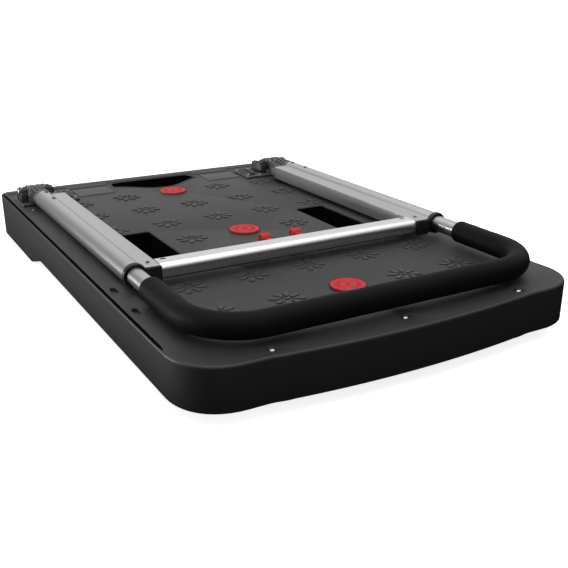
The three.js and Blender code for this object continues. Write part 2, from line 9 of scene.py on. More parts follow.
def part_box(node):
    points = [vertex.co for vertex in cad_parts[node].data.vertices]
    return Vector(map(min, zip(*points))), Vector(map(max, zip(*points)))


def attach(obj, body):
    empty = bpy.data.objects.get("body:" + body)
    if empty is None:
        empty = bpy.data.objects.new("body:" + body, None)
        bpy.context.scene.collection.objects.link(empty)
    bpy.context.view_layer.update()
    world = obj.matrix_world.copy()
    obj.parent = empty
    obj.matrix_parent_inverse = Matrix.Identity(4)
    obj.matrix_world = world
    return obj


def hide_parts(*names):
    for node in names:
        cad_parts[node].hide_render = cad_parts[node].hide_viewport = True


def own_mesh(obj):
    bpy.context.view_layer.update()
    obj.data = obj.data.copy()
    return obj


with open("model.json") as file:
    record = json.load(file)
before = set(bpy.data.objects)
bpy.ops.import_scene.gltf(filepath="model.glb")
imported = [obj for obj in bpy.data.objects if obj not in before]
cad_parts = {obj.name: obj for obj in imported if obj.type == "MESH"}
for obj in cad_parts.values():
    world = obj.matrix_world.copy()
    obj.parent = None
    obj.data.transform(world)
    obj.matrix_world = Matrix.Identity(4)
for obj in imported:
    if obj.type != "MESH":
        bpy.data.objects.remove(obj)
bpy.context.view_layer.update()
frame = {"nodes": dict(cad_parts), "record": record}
MM = 0.001


def span(node):
    """Lowest and highest corner of a CAD node in millimetres."""
    lo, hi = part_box(node)
    return [v / MM for v in lo], [v / MM for v in hi]


def joint_at(name):
    """A joint's position in millimetres."""
    for j in frame["record"]["behaviour"]["joints"]:
        if j["name"] == name:
            return [v / MM for v in j["pos_m"]]
    raise KeyError(name)


deck_lo, deck_hi = span("deck_shell")
W, L, H = deck_hi[0] - deck_lo[0], deck_hi[1] - deck_lo[1], deck_hi[2]
_, PIN_Y, RAIL_Z = joint_at("handle_fold")
rail_lo, rail_hi = span("side_rail_right")
bar_lo, bar_hi = span("crossbar")
TUBE_R = rail_hi[2] - RAIL_Z
RAIL_X = rail_hi[0] - TUBE_R
WEB_IN, WEB_BOT, WEB_TOP = rail_lo[0], bar_lo[2], bar_hi[2]
RAIL_F, RAIL_B = rail_lo[1], rail_hi[1]
BAR_F, BAR_B = bar_lo[1], bar_hi[1]
foam_lo, foam_hi = span("grip_foam")
FOAM_R = (foam_hi[2] - foam_lo[2]) / 2
KNOB_R = 7.0
GRIP_Y, FOAM_START, BEND = foam_lo[1] + FOAM_R, foam_hi[1], 62.0
TUBE_END = span("grip_tube")[1][1]
SIDES = (("left", -1), ("right", 1))


# ------------------------------------------------------------------ geometry
class Build:
    """Collects closed shells in millimetres and makes one object of them."""

    def __init__(self):
        self.v, self.f, self.flat = [], [], set()

    def add(self, verts, faces, flat=False):
        n = len(self.v)
        self.v += [tuple(p) for p in verts]
        for f in faces:
            if flat:
                self.flat.add(len(self.f))
            self.f.append(tuple(i + n for i in f))
        return self

    def bm(self, bm, flat=False):
        bm.verts.index_update()
        out = self.add([v.co for v in bm.verts], [[v.index for v in f.verts] for f in bm.faces], flat)
        bm.free()
        return out

    def box(self, x0, x1, y0, y1, z0, z1, r=0.6, seg=2, rot=None, at=None):
        bm = bmesh.new()
        bmesh.ops.create_cube(bm, size=1)
        lo = Vector((min(x0, x1), min(y0, y1), min(z0, z1)))
        hi = Vector((max(x0, x1), max(y0, y1), max(z0, z1)))
        for v in bm.verts:
            v.co = Vector(lo[k] + (v.co[k] + 0.5) * (hi[k] - lo[k]) for k in range(3))
        r = min(r, 0.45 * min(hi - lo))
        if r > 0:
            bmesh.ops.bevel(bm, geom=bm.edges[:], offset=r, segments=seg, profile=0.5, affect="EDGES")
        if rot is not None:
            c = Vector(at) if at else (lo + hi) / 2
            for v in bm.verts:
                v.co = rot @ (v.co - c) + c
        return self.bm(bm)

    def lathe(self, prof, centre, axis="z", seg=48, turn=0.0):
        """prof is (radius, height) pairs from bottom to top; ends close on the axis if radius 0."""
        rings = []
        for r, h in prof:
            if r <= 1e-6:
                rings.append([self._lp(0, 0, h, centre, axis)])
            else:
                rings.append([self._lp(r * math.cos(turn + 2 * math.pi * i / seg),
                                       r * math.sin(turn + 2 * math.pi * i / seg), h, centre, axis)
                              for i in range(seg)])
        return self.rings(rings)

    @staticmethod
    def _lp(a, b, h, c, axis):
        if axis == "z":
            p = (a, b, h)
        elif axis == "y":
            p = (b, h, a)
        else:
            p = (h, a, b)
        return (c[0] + p[0], c[1] + p[1], c[2] + p[2])

    def rings(self, rings, closed=False):
        """Closed shells from rings of equal length; a ring of one point is a pole."""
        verts, starts = [], []
        for r in rings:
            starts.append(len(verts))
            verts += r
        faces = []
        pairs = list(zip(range(len(rings)), range(1, len(rings))))
        if closed:
            pairs.append((len(rings) - 1, 0))
        for a, b in pairs:
            na, nb, sa, sb = len(rings[a]), len(rings[b]), starts[a], starts[b]
            n = max(na, nb)
            for i in range(n):
                j = (i + 1) % n
                if na == 1:
                    faces.append((sa, sb + j, sb + i))
                elif nb == 1:
                    faces.append((sa + i, sa + j, sb))
                else:
                    faces.append((sa + i, sa + j, sb + j, sb + i))
        if not closed:
            if len(rings[0]) > 1:
                faces.append(tuple(starts[0] + i for i in reversed(range(len(rings[0])))))
            if len(rings[-1]) > 1:
                faces.append(tuple(starts[-1] + i for i in range(len(rings[-1]))))
        return self.add(verts, faces)

    def make(self, name, mat, body, replaces=(), angle=35, weld=1e-6):
        me = bpy.data.meshes.new(name)
        me.from_pydata([(x * MM, y * MM, z * MM) for x, y, z in self.v], [], self.f)
        bm = bmesh.new()
        bm.from_mesh(me)
        bmesh.ops.remove_doubles(bm, verts=bm.verts[:], dist=weld)
        bmesh.ops.recalc_face_normals(bm, faces=bm.faces[:])
        bm.to_mesh(me)
        bm.free()
        me.validate()
        me.shade_smooth()
        me.set_sharp_from_angle(angle=math.radians(angle))
        o = bpy.data.objects.new(name, me)
        bpy.context.scene.collection.objects.link(o)
        me.materials.append(mat)
        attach(o, body)
        if replaces:
            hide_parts(*replaces)
        return o


def fill_faces(loops, up=True):
    """Triangles of a flat region: first loop outside, the others holes. Loops are lists of 3-D points."""
    bm = bmesh.new()
    for loop in loops:
        vs = [bm.verts.new(p) for p in loop]
        for i, v in enumerate(vs):
            bm.edges.new((v, vs[(i + 1) % len(vs)]))
    bmesh.ops.triangle_fill(bm, use_beauty=True, use_dissolve=False, edges=bm.edges[:],
                            normal=(0, 0, 1 if up else -1))
    return bm


def arc(cx, cy, r, a0, a1, n):
    return [(cx + r * math.cos(math.radians(a0 + (a1 - a0) * i / n)),
             cy + r * math.sin(math.radians(a0 + (a1 - a0) * i / n))) for i in range(n + 1)]


def bez(p0, p1, p2, p3, n):
    out = []
    for i in range(n + 1):
        t = i / n
        u = 1 - t
        out.append(tuple(u ** 3 * a + 3 * u * u * t * b + 3 * u * t * t * c + t ** 3 * d
                         for a, b, c, d in zip(p0, p1, p2, p3)))
    return out


def spaced(poly, step):
    """Closed polyline with its long pieces cut to about step."""
    out = []
    for a, b in zip(poly, poly[1:] + poly[:1]):
        d = math.dist(a, b)
        if d < 1e-6:
            continue
        n = max(1, round(d / step))
        out += [tuple(p + (q - p) * k / n for p, q in zip(a, b)) for k in range(n)]
    return out


def normals(poly):
    """Unit inward normals of a closed counter-clockwise polyline."""
    n, out = len(poly), []
    for i in range(n):
        a, b = poly[i - 1], poly[(i + 1) % n]
        dx, dy = b[0] - a[0], b[1] - a[1]
        d = math.hypot(dx, dy)
        out.append((-dy / d, dx / d))
    return out


def inset(poly, nrm, d):
    return [(p[0] + q[0] * d, p[1] + q[1] * d) for p, q in zip(poly, nrm)]


def rrect(x0, x1, y0, y1, r, n=6):
    return (arc(x1 - r, y0 + r, r, -90, 0, n) + arc(x1 - r, y1 - r, r, 0, 90, n)
            + arc(x0 + r, y1 - r, r, 90, 180, n) + arc(x0 + r, y0 + r, r, 180, 270, n))


def sweep_points(path, radius, seg=48):
    """Rings of a round tube along a path in the plane z = const."""
    rings = []
    for i, p in enumerate(path):
        a, b = path[max(i - 1, 0)], path[min(i + 1, len(path) - 1)]
        d = Vector((b[0] - a[0], b[1] - a[1], 0)).normalized()
        s = Vector((-d.y, d.x, 0))
        r = radius[i] if isinstance(radius, (list, tuple)) else radius
        rings.append([(p[0] + r * math.cos(t) * s.x, p[1] + r * math.cos(t) * s.y, p[2] + r * math.sin(t))
                      for t in (2 * math.pi * k / seg for k in range(seg))])
    return rings


# ----------------------------------------------------------------- materials
GRAIN_DETAIL, MOTTLE_SCALE, MOTTLE_DETAIL = 6.0, 14.0, 4.0
# painted highlight: how convex edges, found by pointiness, are lightened in colour
EDGE_HIGHLIGHT_FROM, EDGE_HIGHLIGHT_TO, EDGE_HIGHLIGHT_GAIN, EDGE_HIGHLIGHT_LIFT = 0.53, 0.62, 2.2, 0.03


def material(name, base, rough, metal=0.0, grain=900.0, bump=0.1, mottle=0.12, rough_var=0.1,
             stretch=(1, 1, 1), spec=0.5, edge_highlight=0.0, dist=0.0002):
    """Fine grain in bump and roughness, a broad mottle in colour, and lighter convex edges, a painted
    highlight, where its strength is set.
    """
    m = bpy.data.materials.new(name)
    m.use_nodes = True
    nt = m.node_tree
    nt.nodes.clear()
    N, K = nt.nodes.new, nt.links.new
    out = N("ShaderNodeOutputMaterial")
    b = N("ShaderNodeBsdfPrincipled")
    K(b.outputs[0], out.inputs[0])
    b.inputs["Metallic"].default_value = metal
    b.inputs["Specular IOR Level"].default_value = spec
    tc = N("ShaderNodeTexCoord")
    mp = N("ShaderNodeMapping")
    mp.inputs["Scale"].default_value = stretch
    K(tc.outputs["Object"], mp.inputs[0])
    fine = N("ShaderNodeTexNoise")
    fine.inputs["Scale"].default_value = grain
    fine.inputs["Detail"].default_value = GRAIN_DETAIL
    K(mp.outputs[0], fine.inputs["Vector"])
    broad = N("ShaderNodeTexNoise")
    broad.inputs["Scale"].default_value = MOTTLE_SCALE
    broad.inputs["Detail"].default_value = MOTTLE_DETAIL
    K(tc.outputs["Object"], broad.inputs["Vector"])
    ramp = N("ShaderNodeMapRange")
    ramp.inputs["To Min"].default_value = 1 - mottle
    ramp.inputs["To Max"].default_value = 1 + mottle
    K(broad.outputs["Fac"], ramp.inputs["Value"])
    col = N("ShaderNodeMix")
    col.data_type = "RGBA"
    col.blend_type = "MULTIPLY"
    col.inputs["Factor"].default_value = 1.0
    col.inputs["A"].default_value = (*base, 1)
    K(ramp.outputs[0], col.inputs["B"])
    last = col.outputs["Result"]
    # painted highlight: convex edges lightened in the base colour
    if edge_highlight > 0:
        geo = N("ShaderNodeNewGeometry")
        edge = N("ShaderNodeMapRange")
        edge.inputs["From Min"].default_value = EDGE_HIGHLIGHT_FROM
        edge.inputs["From Max"].default_value = EDGE_HIGHLIGHT_TO
        edge.inputs["To Max"].default_value = edge_highlight
        K(geo.outputs["Pointiness"], edge.inputs["Value"])
        mix = N("ShaderNodeMix")
        mix.data_type = "RGBA"
        K(edge.outputs[0], mix.inputs["Factor"])
        K(last, mix.inputs["A"])
        mix.inputs["B"].default_value = (*[min(1, c * EDGE_HIGHLIGHT_GAIN + EDGE_HIGHLIGHT_LIFT) for c in base], 1)
        last = mix.outputs["Result"]
    K(last, b.inputs["Base Color"])
    rr = N("ShaderNodeMapRange")
    rr.inputs["To Min"].default_value = max(0.02, rough - rough_var)
    rr.inputs["To Max"].default_value = min(1, rough + rough_var)
    K(fine.outputs["Fac"], rr.inputs["Value"])
    K(rr.outputs[0], b.inputs["Roughness"])
    bp = N("ShaderNodeBump")
    bp.inputs["Strength"].default_value = bump
    bp.inputs["Distance"].default_value = dist
    K(fine.outputs["Fac"], bp.inputs["Height"])
    K(bp.outputs[0], b.inputs["Normal"])
    return m


M_DECK = material("deck_plastic", (0.020, 0.020, 0.0205), 0.50, grain=1400, bump=0.35, mottle=0.16)
M_MARK = material("mark_plastic", (0.026, 0.026, 0.0265), 0.42, grain=1400, bump=0.25, mottle=0.15)
M_RIB = material("rib_plastic", (0.016, 0.016, 0.017), 0.55, grain=900, bump=0.2)
M_RED = material("red_plastic", (0.55, 0.016, 0.024), 0.45, grain=1100, bump=0.3, mottle=0.12, spec=0.3)
M_PAD = material("pad_grey", (0.085, 0.085, 0.085), 0.62, grain=1600, bump=0.35, mottle=0.12)
M_ALU = material("aluminium", (0.62, 0.625, 0.63), 0.30, metal=1.0, grain=190, bump=0.02, mottle=0.03,
                 rough_var=0.04, stretch=(14, 0.35, 14))
M_BAR = material("aluminium_bar", (0.93, 0.935, 0.94), 0.30, metal=1.0, grain=190, bump=0.015, mottle=0.02,
                 rough_var=0.03, stretch=(0.35, 14, 14))
# the cast parts and the bolts below carry a painted highlight on their convex edges
M_CAST = material("cast_metal", (0.060, 0.061, 0.063), 0.50, metal=0.6, grain=520, bump=0.5, mottle=0.35,
                  rough_var=0.14, edge_highlight=0.6)
M_ARM = material("cast_arm", (0.10, 0.101, 0.104), 0.46, metal=0.7, grain=520, bump=0.45, mottle=0.35,
                 rough_var=0.14, edge_highlight=0.6)
M_BOLT = material("dark_bolt", (0.16, 0.16, 0.165), 0.34, metal=1.0, grain=700, bump=0.15, mottle=0.2,
                  edge_highlight=0.8)
M_STEEL = material("zinc_steel", (0.52, 0.53, 0.54), 0.28, metal=1.0, grain=700, bump=0.12, mottle=0.1)
M_FOAM = material("foam", (0.006, 0.006, 0.0064), 0.55, grain=2600, bump=0.5, mottle=0.2, spec=0.08,
                  dist=0.0003)
# painted shade: a near-black stand-in for the shade inside the deck's openings and its side groove
M_PAINTED_SHADE = material("painted_shade_recess", (0.002, 0.002, 0.002), 0.9, grain=900, bump=0.1, spec=0.05)
M_BLACK = material("black_plastic", (0.012, 0.012, 0.013), 0.38, grain=1200, bump=0.2)
M_TYRE = material("tyre_rubber", (0.05, 0.05, 0.052), 0.6, grain=1200, bump=0.3)


# ---------------------------------------------------------------------- deck
FRONT_CORNER, NOSE, REAR_R, OUTLINE_STEP = 58.0, 11, 12, 7.0
EASE_OUT, EASE_MID, EASE_IN, EASE_DEPTH, BOW_DEPTH = 164, 150, 136, 3, 19
SKIRT_LIFT, SKIRT_BREAK, SKIRT_RUN = 16.5, 201, 56
GROOVE_FRONT, GROOVE_FADE, GROOVE_REAR, GROOVE_END = 312, 26, 10, 8


def deck_outline():
    """Deck seen from above: bowed front between rounded corners, straight sides, square rear."""
    w, c, f = W / 2, FRONT_CORNER, -L / 2 + NOSE
    half = []
    half += bez((w - c, f), (w - c * 0.36, f), (w, f + c * 0.42), (w, f + c), 22)
    half += [(w, L / 2 - REAR_R)]
    half += arc(w - REAR_R, L / 2 - REAR_R, REAR_R, 0, 90, 8)
    left = [(-x, y) for x, y in reversed(half)]
    e = f - EASE_DEPTH
    front = [(-EASE_OUT, f)] + bez((-EASE_OUT, f), (-EASE_MID, f), (-EASE_MID, e), (-EASE_IN, e), 8)
    front += [((1 - t) ** 2 * -EASE_IN + t * t * EASE_IN,
               (1 - t) ** 2 * e + 2 * t * (1 - t) * (f - BOW_DEPTH) + t * t * e)
              for t in (i / 30 for i in range(1, 30))]
    front += bez((EASE_IN, e), (EASE_MID, e), (EASE_MID, f), (EASE_OUT, f), 8)
    pts = front + half + left
    out = []
    for p in pts:
        if not out or math.dist(p, out[-1]) > 0.05:
            out.append(p)
    if math.dist(out[0], out[-1]) < 0.05:
        out.pop()
    return spaced(out, OUTLINE_STEP)


def skirt_z(y):
    """Height of the skirt's lower edge: full depth at the rear, lifted further forward."""
    t = min(1, max(0, (SKIRT_BREAK - y) / SKIRT_RUN))
    t = t * 0.86 + 0.14 * t * t * (3 - 2 * t)
    return SKIRT_LIFT * t


def groove_w(x, y):
    """How far the groove beside the top edge is open, 0 to 1: along the sides only."""
    if abs(x) < W / 2 - 6:
        return 0.0
    front = max(0.0, min(1.0, (y + GROOVE_FRONT) / GROOVE_FADE))
    return front * max(0.0, min(1.0, (L / 2 - GROOVE_REAR - y) / GROOVE_END))


HOLE_X, HOLE_Y = (114, 159), (-65, 59)
HOLD_HALF, HOLD_NEAR, HOLD_END, HOLD_FAR = 70, 283.5, 321, 350
HOLD_BOX = ((0, 76), (280, 354))
DISCS = (("front", -247), ("mid", 0), ("rear", 247))
RIM_SCREWS = (("left", -151.5, -349), ("mid", 0, -348), ("right", 151.5, -349))
RIM_SLOT_X, RIM_SLOTS_Y = 226, (-133, -201)
# rings over the top edge: inset, depth, and what the side groove adds to the inset and the depth
TOP_EDGE = ((2.6, 0.0, 3.0, 0.0), (2.5, 0.0, 2.7, 0.15), (2.4, 0.0, 2.4, 0.6), (2.3, 0.0, 2.3, 3.0),
            (2.2, 0.05, -0.7, 3.0), (1.7, 0.2, -0.5, 1.0), (1.1, 0.55, -0.3, 0.6), (0.45, 1.3, 0.0, 0.3),
            (0.1, 2.3, 0.0, 0.0), (0.0, 3.6, 0.0, 0.0))
# rings round the skirt's lower edge: inset, height above that edge
SKIRT_EDGE = ((0.3, 1.6), (0.6, 0.6), (1.3, 0.0), (3.3, 0.0), (4.0, 0.8))
SKIRT_WAIST, SHEET = 40, 3.6
# walls of an opening right through: distance from its outline, height
THROUGH = ((1.6, H), (0.9, H - 0.15), (0.35, H - 0.6), (0.0, H - 1.6), (0.0, 12.8), (1.0, 12.0), (3.0, 12.0),
           (3.8, 12.8), (4.0, H - SHEET))


def hand_hold(d=0.0):
    """Outline of the hand-hold opening, grown by d."""
    side, near, end, far = HOLD_HALF + d, HOLD_NEAR - d, HOLD_END - d * 0.4, HOLD_FAR + d
    left = [(-x, y) for x, y in bez((side, end), (46, 314 - d), (30, near), (0, near), 16)]
    right = bez((0, near), (30, near), (46, 314 - d), (side, end), 16)
    corner = bez((side, 336), (side, 345 + d), (side - 4, far), (side - 12, far), 8)
    return left + right[1:] + corner + [(-x, y) for x, y in reversed(corner)]


def wall(b, loop, prof):
    """Wall that follows a loop, from (distance, height) pairs; returns its first and last ring."""
    out = [(-a, -c) for a, c in normals(loop)]
    rr = [[(p[0] + a[0] * d, p[1] + a[1] * d, z) for p, a in zip(loop, out)] for d, z in prof]
    m = len(loop)
    b.add([p for r in rr for p in r],
          [(a * m + i, a * m + (i + 1) % m, (a + 1) * m + (i + 1) % m, (a + 1) * m + i)
           for a in range(len(rr) - 1) for i in range(m)])
    return rr[0], rr[-1]


def build_deck():
    b = Build()
    o = deck_outline()
    n = normals(o)
    g = [groove_w(*p) for p in o]
    rings = []

    def ring(d, z):
        rings.append([(p[0] + q[0] * d(i), p[1] + q[1] * d(i), z(i)) for i, (p, q) in enumerate(zip(o, n))])

    # from the flat top outwards, over the edge and down the skirt, then up inside
    for d, z, gd, gz in TOP_EDGE:
        ring(lambda i: d + gd * g[i], lambda i: H - z - gz * g[i])
    ring(lambda i: 0.0, lambda i: SKIRT_WAIST)
    for d, z in SKIRT_EDGE:
        ring(lambda i: d, lambda i: skirt_z(o[i][1]) + z)
    ring(lambda i: SKIRT_EDGE[-1][0], lambda i: H - SHEET)
    verts, faces = [], []
    m = len(o)
    for r in rings:
        verts += r
    for k in range(len(rings) - 1):
        for i in range(m):
            j = (i + 1) % m
            faces.append((k * m + i, k * m + j, (k + 1) * m + j, (k + 1) * m + i))
    b.add(verts, faces)
    # openings right through, with softened edges
    through = [hand_hold()]
    for _, s in SIDES:
        x = sorted((s * HOLE_X[0], s * HOLE_X[1]))
        through.append(rrect(*x, *HOLE_Y, 4))
    top_loops, low_loops = [rings[0]], [rings[-1]]
    for loop in through:
        first, last = wall(b, loop, THROUGH)
        top_loops.append(first)
        low_loops.append(last)
    # shallow pockets in the top: disc seats, pad seats, screw dimples, dark rim slots
    pockets = []
    for _, y in DISCS:
        pockets.append((arc(0, y, 21.2, 0, 360, 48)[:-1], 1.2))
    for _, x, y in RIM_SCREWS:
        pockets.append((arc(x, y, 5.2, 0, 360, 24)[:-1], 1.5))
    for _, s in SIDES:
        lo, hi = span("rear_pad_" + ("left" if s < 0 else "right"))
        pockets.append((rrect(lo[0] - 0.5, hi[0] + 0.5, lo[1] - 0.5, hi[1] + 0.5, 3), 1.0))
        x = s * RIM_SLOT_X
        for y in RIM_SLOTS_Y:
            pockets.append((rrect(x - 3.5, x + 3.5, y - 8, y + 8, 3.4), 5.0))
    for loop, depth in pockets:
        first, last = wall(b, loop, ((0.6, H), (0.2, H - 0.15), (0.0, H - 0.6), (0.0, H - depth)))
        b.add(last, [tuple(range(len(loop)))])
        top_loops.append(first)
    b.bm(fill_faces(top_loops))
    b.bm(fill_faces(low_loops, up=False))
    body = b.make("deck_body", M_DECK, "root", ["deck_shell"], angle=40, weld=2e-6)
    # the openings' walls take a near-black material, painted shade on what is the deck's own plastic
    body.data.materials.append(M_PAINTED_SHADE)
    holes = ((HOLE_X, HOLE_Y), HOLD_BOX)
    for f in body.data.polygons:
        c = f.center / MM
        inside = any(x0 - 1 < abs(c.x) < x1 + 1 and y0 - 1 < c.y < y1 + 1 for (x0, x1), (y0, y1) in holes)
        if inside and abs(f.normal.z) < 0.3 and c.z < H - 1.5:
            f.material_index = 1
        # and so is the floor of the groove beside the top edge, painted shade there too
        if W / 2 - 5.2 < abs(c.x) < W / 2 - 1.6 and H - 3.4 < c.z < H - 1.2 and c.y > -300:
            f.material_index = 1
    return body


CASTORS_Y = (("front", -218), ("rear", 218))
ROD_X, ROD_Z, EAR_GAP, STOP_X, STOP_GAP, STOP_Z = 189, 54.5, 55, 213, 36, 56.5
# ribs and stand feet under the deck: x0, x1, y0, y1 and lower edge
RIBS = ((-237, -79, 100, 104, 30), (79, 237, 100, 104, 30), (-237, 237, -110, -106, 30),
        (-237, 237, -310, -306, 24), (-80, -76, -308, 102, 24), (76, 80, -308, 102, 24),
        (-79, 79, 100, 104, 30), (-2, 2, -308, 282, 30), (-80, -76, 102, 282, 24), (76, 80, 102, 282, 24),
        (-237, -79, 280.5, 284.5, 24), (79, 237, 280.5, 284.5, 24), (-70, -40, -310, -290, 0),
        (40, 70, -310, -290, 0))


def build_ribs():
    """Ribs, stand feet, the ears that hold the castors' hinge rods, and their stops."""
    b = Build()
    top = H - 3.4
    for x0, x1, y0, y1, z0 in RIBS:
        b.box(x0, x1, y0, y1, z0, top, r=0.8)
    for _, s in SIDES:
        x, xs = s * ROD_X, s * STOP_X
        for _, yc in CASTORS_Y:
            for k in (-1, 1):
                y0, ys = yc + k * EAR_GAP - 3, yc + k * STOP_GAP
                b.lathe([(7.2, y0), (7.8, y0 + 0.6), (7.8, y0 + 5.4), (7.2, y0 + 6)], (x, 0, ROD_Z), "y", 32)
                b.box(x - 7, x + 7, y0, y0 + 6, ROD_Z, top, r=0.5)
                b.box(xs - 12, xs + 12, ys - 3, ys + 3, STOP_Z, top, r=0.5)
    return b.make("deck_ribs", M_RIB, "root")


PETALS, PETAL_IN, PETAL_OUT, PETAL_HALF, PETAL_RISE = 8, 5.4, 20.5, 3.4, 1.25
MARK_DX, MARK_DY = 76.5, 82.33


def petal(b, cx, cy, ang, reach, half, rise):
    """One raised drop-shaped petal, wider towards its outer end."""
    u, v = Vector((math.cos(ang), math.sin(ang), 0)), Vector((-math.sin(ang), math.cos(ang), 0))
    rings = []
    for d, h in ((0.0, -0.4), (0.0, 0.55 * rise), (0.35, 0.85 * rise), (0.9, rise), (1.7, 0.9 * rise)):
        ring = []
        for k in range(20):
            t = 2 * math.pi * k / 20
            mid, long = (PETAL_IN + reach) / 2, (reach - PETAL_IN) / 2 - d
            wide = (half - d) * (1 + 0.28 * math.cos(t))
            p = Vector((cx, cy, 0)) + u * (mid + long * math.cos(t)) + v * (wide * math.sin(t))
            ring.append((p.x, p.y, H + h))
        rings.append(ring)
    b.rings(rings)


def flower(b, cx, cy):
    """One anti-slip mark: eight raised petals round a low boss."""
    for k in range(PETALS):
        ang = 2 * math.pi * (k + 0.5) / PETALS
        petal(b, cx, cy, ang, PETAL_OUT if k % 2 else PETAL_OUT - 2.0, PETAL_HALF, PETAL_RISE)
    b.lathe([(0, -0.4), (2.8, -0.4), (2.8, 0.6), (2.2, 1.1), (0, 1.15)], (cx, cy, H), "z", 20)


def build_marks():
    b = Build()
    for i in range(-2, 3):
        for j in range(-3, 4):
            disc_here = i == 0 and j in (-3, 0, 3)
            if disc_here or (abs(i) == 2 and j == 0):
                continue
            x, y = i * MARK_DX, j * MARK_DY
            if y > 240 and abs(i) == 2:
                y -= 8
            flower(b, x, y)
    return b.make("grip_marks", M_MARK, "root", angle=60)


def build_rear_rim():
    """Low strip along the rear edge, a small step above the deck, stopping short of the hand-hold."""
    b = Build()
    b.box(-231, 231, 352.5, 371.3, H - 1, H + 0.8, r=0.5, seg=2)
    for _, s in SIDES:
        b.box(s * 76, s * 143, 339.5, 353.5, H - 1, H + 0.75, r=0.5, seg=2)
    # chamfer lip round the hand-hold
    loop = hand_hold(1.0)
    n = [(-p, -q) for p, q in normals(loop)]
    rr = [[(p[0] + a[0] * d, p[1] + a[1] * d, z) for p, a in zip(loop, n)] for d, z in
          ((0.6, H - 0.5), (0.6, H + 0.35), (1.2, H + 0.6), (2.2, H + 0.6), (2.8, H + 0.3), (2.8, H - 0.5))]
    b.rings(rr, closed=True)
    return b.make("rear_rim", M_DECK, "root")


# ------------------------------------------------------------- small fittings
def build_discs():
    for name, y in DISCS:
        b = Build()
        z = H - 0.9
        prof = [(0, 0), (19.4, 0), (20, 0.5), (20, 2.2), (19.7, 2.8), (19.0, 3.2), (18.0, 3.3), (16.6, 3.25),
                (16.2, 3.0), (7.6, 2.95), (7.0, 3.3), (6.0, 3.5), (4.6, 3.45), (4.2, 3.1), (0, 3.05)]
        b.lathe([(r, z + h) for r, h in prof], (0, y, 0), "z", 72)
        # moulded relief: a cross-slot boss and a ring of short bars
        for k in range(2):
            rot = Matrix.Rotation(math.radians(35 + 90 * k), 3, "Z")
            b.box(-2.6, 2.6, y - 0.7, y + 0.7, z + 2.7, z + 3.7, r=0.3, rot=rot, at=(0, y, z + 4))
        for k in range(18):
            rot = Matrix.Rotation(math.radians(20 * k), 3, "Z")
            b.box(9.4, 14.8, y - 0.45, y + 0.45, z + 2.7, z + 3.35, r=0.2, rot=rot, at=(0, y, z + 4))
        b.make("disc_" + name, M_RED, "root", ["grip_disc_" + name])


def build_pads():
    for name, s in SIDES:
        lo, hi = span("rear_pad_" + name)
        loop = rrect(lo[0], hi[0], lo[1], hi[1], 3, 5)
        n = normals(loop)
        b = Build()
        b.rings([[(*p, z) for p in inset(loop, n, d)] for d, z in
                 ((0, H - 0.7), (0, H + 0.4), (0.3, H + 0.75), (0.8, H + 0.9))])
        b.make("rear_pad_" + name + "_face", M_PAD, "root", ["rear_pad_" + name])


def screw_head(b, x, y, z, r, h):
    """Domed screw head with a round dimple."""
    prof = [(0, -0.4), (r, -0.4), (r, 0.25), (r * 0.93, h * 0.5), (r * 0.72, h * 0.85), (r * 0.45, h),
            (r * 0.4, h * 0.55), (0, h * 0.5)]
    b.lathe(prof, (x, y, z), "z", 28)


def build_rim_screws():
    for name, x, y in RIM_SCREWS:
        b = Build()
        screw_head(b, x, y, H - 1.3, 3.6, 1.9)
        b.make("rim_screw_head_" + name, M_STEEL, "root", ["rim_screw_" + name])


# --------------------------------------------------------------------- handle
def rail_profile(s):
    """Outer outline of one side rail in X and Z: box web inside, round tube outside."""
    cx = RAIL_X
    r = 1.4
    dz = WEB_TOP - RAIL_Z
    a0 = math.degrees(math.asin(dz / TUBE_R))
    pts = arc(WEB_IN + r, WEB_BOT + r, r, 270, 180, 5) + arc(WEB_IN + r, WEB_TOP - r, r, 180, 90, 5)
    pts += [(cx - TUBE_R * math.cos(math.radians(a0)) - 1.0, WEB_TOP)]
    pts += arc(cx, RAIL_Z, TUBE_R, 180 - a0 - 2, -88, 56)
    pts += [(cx - 2, WEB_BOT)]
    return [(s * x, z) for x, z in pts]


def extrude_y(b, outer, holes, y0, y1, chamfer=0.4):
    """Hollow profile along Y: outer and inner walls and flat ends with the holes in them."""
    def area(p):
        return sum(a[0] * c[1] - c[0] * a[1] for a, c in zip(p, p[1:] + p[:1])) / 2
    if area(outer) < 0:
        outer = outer[::-1]
    n = normals(outer)
    m = len(outer)
    rr = [[(p[0], y, p[1]) for p in inset(outer, n, d)] for d, y in
          ((chamfer, y0), (0, y0 + chamfer), (0, y1 - chamfer), (chamfer, y1))]
    ff = [(a * m + i, a * m + (i + 1) % m, (a + 1) * m + (i + 1) % m, (a + 1) * m + i)
          for a in range(3) for i in range(m)]
    b.add([p for r in rr for p in r], ff)
    for h in holes:
        k = len(h)
        b.add([(x, y0, z) for x, z in h] + [(x, y1, z) for x, z in h],
              [(i, (i + 1) % k, k + (i + 1) % k, k + i) for i in range(k)])
    for y, ring in ((y0, rr[0]), (y1, rr[-1])):
        bm = fill_faces([[(p[0], p[2], 0) for p in ring]] + [[(x, z, 0) for x, z in h] for h in holes])
        for v in bm.verts:
            v.co = Vector((v.co.x, y, v.co.y))
        b.bm(bm)


BORE_R, RAIL_SCREWS_Y, JOINT_SCREW = 10.8, (221, 181), (184.6, -128)


